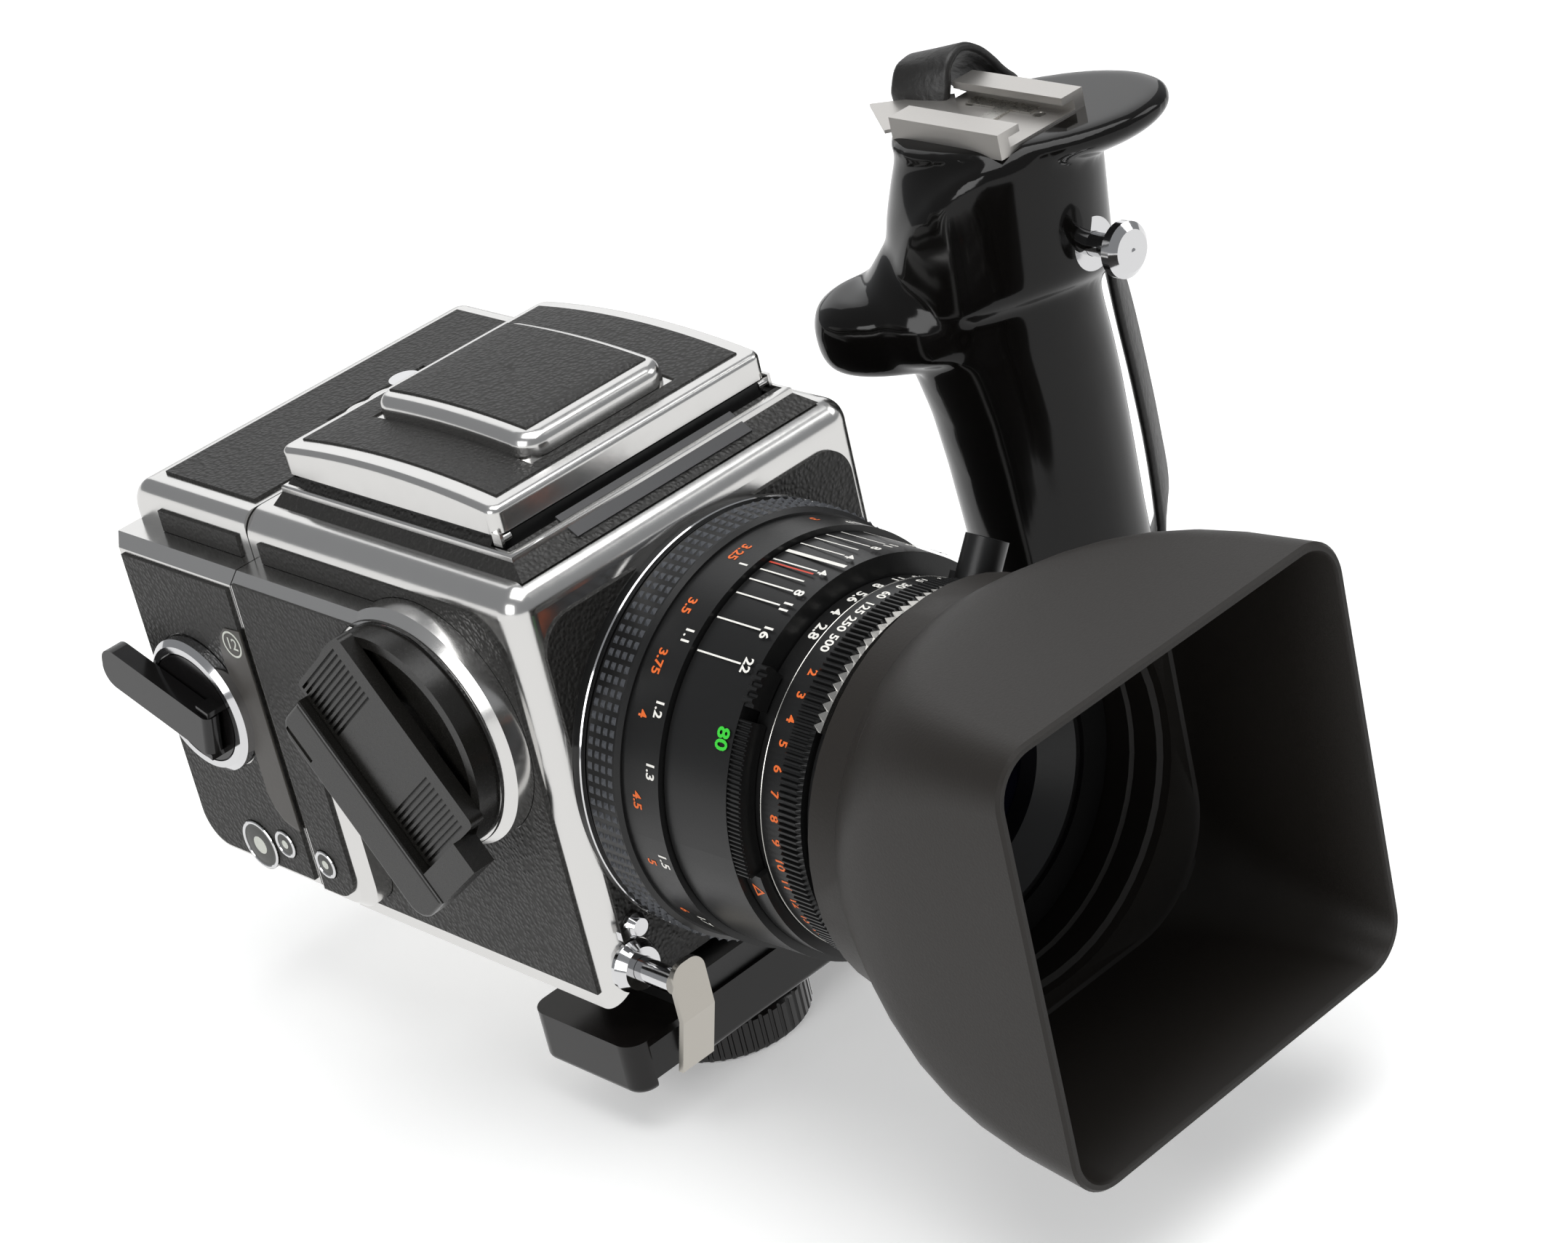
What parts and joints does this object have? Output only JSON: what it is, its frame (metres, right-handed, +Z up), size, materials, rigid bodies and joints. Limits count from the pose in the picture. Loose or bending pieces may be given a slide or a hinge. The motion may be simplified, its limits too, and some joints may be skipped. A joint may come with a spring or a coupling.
{
  "type": "medium format film camera",
  "caption": "Box-form roll film reflex camera with folding finder, magazine, lens with square hood, and a bracket with an upright side grip and accessory shoe.",
  "frame": {"origin": "mouth of the tripod socket, on the underside of the bracket's clamp wheel", "axes": "+X from the body to the side grip, -Y the way the lens looks, +Z up"},
  "size_m": [0.1984, 0.2388, 0.1588],
  "materials": {
    "chrome_shell": "satin",
    "black_leather": "grained",
    "black_metal": "satin",
    "chrome_trim": "polished",
    "screen_glass": "ground",
    "mirror_glass": "polished",
    "steel_plate": "brushed",
    "lens_glass": "coated",
    "grey_plate": "satin",
    "black_plastic": "satin",
    "film_base": "satin",
    "window_glass": "clear",
    "black_anodised": "anodised",
    "hood_plastic": "fine texture",
    "grip_plastic": "polished",
    "shoe_metal": "satin",
    "strap_leather": "smooth"
  },
  "bodies": {
    "camera": {"body_shell": "chrome_shell", "body_leather": "black_leather", "status_window": "window_glass", "foot_plate": "black_metal", "lens_mount": "chrome_trim", "mirror_box": "black_metal", "focusing_screen": "screen_glass", "release_collar": "chrome_trim", "finder_frame": "chrome_shell", "finder_skirt": "black_leather", "name_strip": "grey_plate", "bracket_bar": "black_metal", "grip_body": "grip_plastic", "grip_shoe": "shoe_metal", "shoe_screws": "steel_plate", "shoe_spring": "steel_plate", "plunger_collar": "chrome_trim", "plunger_spring": "steel_plate", "grip_strap": "strap_leather"},
    "mirror": {"mirror": "mirror_glass"},
    "upper_door": {"upper_door": "black_metal"},
    "lower_door": {"lower_door": "black_metal"},
    "release": {"release_button": "chrome_trim", "release_arm": "steel_plate"},
    "release_lock": {"release_lock": "chrome_trim"},
    "finder_lid": {"finder_lid": "chrome_shell"},
    "magnifier": {"magnifier_frame": "black_metal", "magnifier_lens": "lens_glass"},
    "flap_left": {"flap_left": "black_metal"},
    "flap_right": {"flap_right": "black_metal"},
    "flap_rear": {"flap_rear": "black_metal"},
    "magazine": {"magazine_shell": "chrome_shell", "magazine_leather": "black_leather", "film_crank_ring": "chrome_trim", "windows": "window_glass"},
    "magazine_latch": {"magazine_latch": "chrome_trim"},
    "dark_slide": {"dark_slide": "steel_plate"},
    "film_insert": {"film_insert": "steel_plate", "pressure_plate": "black_metal", "film": "film_base"},
    "supply_spool": {"supply_spool": "black_plastic"},
    "takeup_spool": {"takeup_spool": "black_plastic"},
    "film_crank": {"film_crank_disc": "black_plastic"},
    "film_lever": {"film_crank_lever": "black_plastic"},
    "winder": {"winding_disc": "black_plastic", "winding_bar": "black_plastic"},
    "winding_lever": {"winding_lever": "black_plastic"},
    "focus_ring": {"focus_ring": "black_anodised"},
    "lens_head": {"lens_barrel": "black_anodised", "front_bezel": "black_anodised", "front_element": "lens_glass", "rear_element": "lens_glass", "aperture_blades": "steel_plate", "sync_socket": "black_metal"},
    "aperture_ring": {"aperture_ring": "black_anodised"},
    "shutter_ring": {"shutter_ring": "black_anodised"},
    "preview_slider": {"preview_slider": "black_anodised"},
    "hood": {"hood": "hood_plastic"},
    "clamp_wheel": {"clamp_wheel": "black_metal"},
    "plunger": {"plunger_button": "chrome_trim"}
  },
  "joints": [
    {"name": "winding_turn", "type": "hinge", "parent": "camera", "child": "winder", "pos_m": [-0.0397, 0.016, 0.082], "axis": [-1, 0, 0], "continuous": true},
    {"name": "winding_lever_fold", "type": "hinge", "parent": "winder", "child": "winding_lever", "pos_m": [-0.0478, 0.01215, 0.05362], "axis": [0, -0.7738, 0.6334], "range_deg": [0, 170]},
    {"name": "plunger_push", "type": "slide", "parent": "camera", "child": "plunger", "axis": [0, 1, 0], "range_m": [0, 0.005], "stiffness_N_per_m": 200, "springref_m": -0.01},
    {"name": "release_push", "type": "slide", "parent": "camera", "child": "release", "axis": [0, 1, 0], "range_m": [0, 0.002], "stiffness_N_per_m": 200, "springref_m": -0.005},
    {"name": "release_lock_turn", "type": "hinge", "parent": "camera", "child": "release_lock", "pos_m": [-0.026, -0.014, 0.0414], "axis": [0, 1, 0], "range_deg": [0, 60]},
    {"name": "mirror_flip", "type": "hinge", "parent": "camera", "child": "mirror", "pos_m": [0.01, 0.055, 0.104], "axis": [-1, 0, 0], "range_deg": [0, 44]},
    {"name": "upper_door_swing", "type": "hinge", "parent": "camera", "child": "upper_door", "pos_m": [0.01, 0.0605, 0.097], "axis": [-1, 0, 0], "range_deg": [0, 85]},
    {"name": "lower_door_swing", "type": "hinge", "parent": "camera", "child": "lower_door", "pos_m": [0.01, 0.0605, 0.0374], "axis": [1, 0, 0], "range_deg": [0, 85]},
    {"name": "finder_lid_open", "type": "hinge", "parent": "camera", "child": "finder_lid", "pos_m": [0.01, -0.002, 0.1177], "axis": [1, 0, 0], "range_deg": [0, 88]},
    {"name": "magnifier_swing", "type": "hinge", "parent": "finder_lid", "child": "magnifier", "pos_m": [0.009, 0.022, 0.1215], "axis": [-1, 0, 0], "range_deg": [0, 88]},
    {"name": "flap_left_swing", "type": "hinge", "parent": "camera", "child": "flap_left", "pos_m": [-0.02, 0.026, 0.11485], "axis": [0, -1, 0], "range_deg": [0, 88]},
    {"name": "flap_right_swing", "type": "hinge", "parent": "camera", "child": "flap_right", "pos_m": [0.04, 0.026, 0.11485], "axis": [0, 1, 0], "range_deg": [0, 88]},
    {"name": "flap_rear_swing", "type": "hinge", "parent": "camera", "child": "flap_rear", "pos_m": [0.01, 0.057, 0.11485], "axis": [-1, 0, 0], "range_deg": [0, 88]},
    {"name": "magazine_off", "type": "slide", "parent": "camera", "child": "magazine", "axis": [0, 1, 0], "range_m": [0, 0.03]},
    {"name": "magazine_latch_slide", "type": "slide", "parent": "magazine", "child": "magazine_latch", "axis": [1, 0, 0], "range_m": [0, 0.004], "stiffness_N_per_m": 100, "springref_m": -0.006},
    {"name": "dark_slide_pull", "type": "slide", "parent": "magazine", "child": "dark_slide", "axis": [1, 0, 0], "range_m": [0, 0.06]},
    {"name": "insert_pull", "type": "slide", "parent": "magazine", "child": "film_insert", "axis": [1, 0, 0], "range_m": [0, 0.08]},
    {"name": "film_crank_turn", "type": "hinge", "parent": "magazine", "child": "film_crank", "pos_m": [-0.0397, 0.086, 0.071], "axis": [-1, 0, 0], "continuous": true},
    {"name": "film_lever_fold", "type": "hinge", "parent": "film_crank", "child": "film_lever", "pos_m": [-0.0456, 0.07931, 0.06895], "axis": [0, -0.2924, 0.9563], "range_deg": [0, 90]},
    {"name": "supply_spool_turn", "type": "hinge", "parent": "film_insert", "child": "supply_spool", "pos_m": [0.01, 0.089, 0.049], "axis": [-1, 0, 0], "continuous": true},
    {"name": "takeup_spool_turn", "type": "hinge", "parent": "film_insert", "child": "takeup_spool", "pos_m": [0.01, 0.089, 0.091], "axis": [-1, 0, 0], "continuous": true},
    {"name": "focus_turn", "type": "hinge", "parent": "camera", "child": "focus_ring", "pos_m": [0.01, -0.014, 0.0672], "axis": [0, -1, 0], "range_deg": [0, 180]},
    {"name": "lens_extend", "type": "slide", "parent": "camera", "child": "lens_head", "axis": [0, -1, 0], "range_m": [0, 0.006]},
    {"name": "aperture_turn", "type": "hinge", "parent": "lens_head", "child": "aperture_ring", "pos_m": [0.01, -0.014, 0.0672], "axis": [0, -1, 0], "range_deg": [-30, 30]},
    {"name": "shutter_turn", "type": "hinge", "parent": "lens_head", "child": "shutter_ring", "pos_m": [0.01, -0.014, 0.0672], "axis": [0, -1, 0], "range_deg": [-60, 60]},
    {"name": "preview_slide", "type": "hinge", "parent": "lens_head", "child": "preview_slider", "pos_m": [0.01, -0.014, 0.0672], "axis": [0, -1, 0], "range_deg": [-8, 8]},
    {"name": "hood_twist", "type": "hinge", "parent": "lens_head", "child": "hood", "pos_m": [0.01, -0.014, 0.0672], "axis": [0, -1, 0], "range_deg": [0, 45]},
    {"name": "clamp_wheel_turn", "type": "hinge", "parent": "camera", "child": "clamp_wheel", "pos_m": [0, 0, 0], "axis": [0, 0, 1], "continuous": true}
  ],
  "couplings": [
    {"joint": "release_push", "follows": "plunger_push", "ratio": 0.4},
    {"joint": "upper_door_swing", "follows": "mirror_flip", "ratio": 1.9318},
    {"joint": "lower_door_swing", "follows": "mirror_flip", "ratio": 1.9318},
    {"joint": "magnifier_swing", "follows": "finder_lid_open", "ratio": 1},
    {"joint": "flap_left_swing", "follows": "finder_lid_open", "ratio": 1},
    {"joint": "flap_right_swing", "follows": "finder_lid_open", "ratio": 1},
    {"joint": "flap_rear_swing", "follows": "finder_lid_open", "ratio": 1},
    {"joint": "supply_spool_turn", "follows": "film_crank_turn", "ratio": 1},
    {"joint": "takeup_spool_turn", "follows": "film_crank_turn", "ratio": 1},
    {"joint": "lens_extend", "follows": "focus_turn", "m_per_rad": 0.0019099}
  ]
}
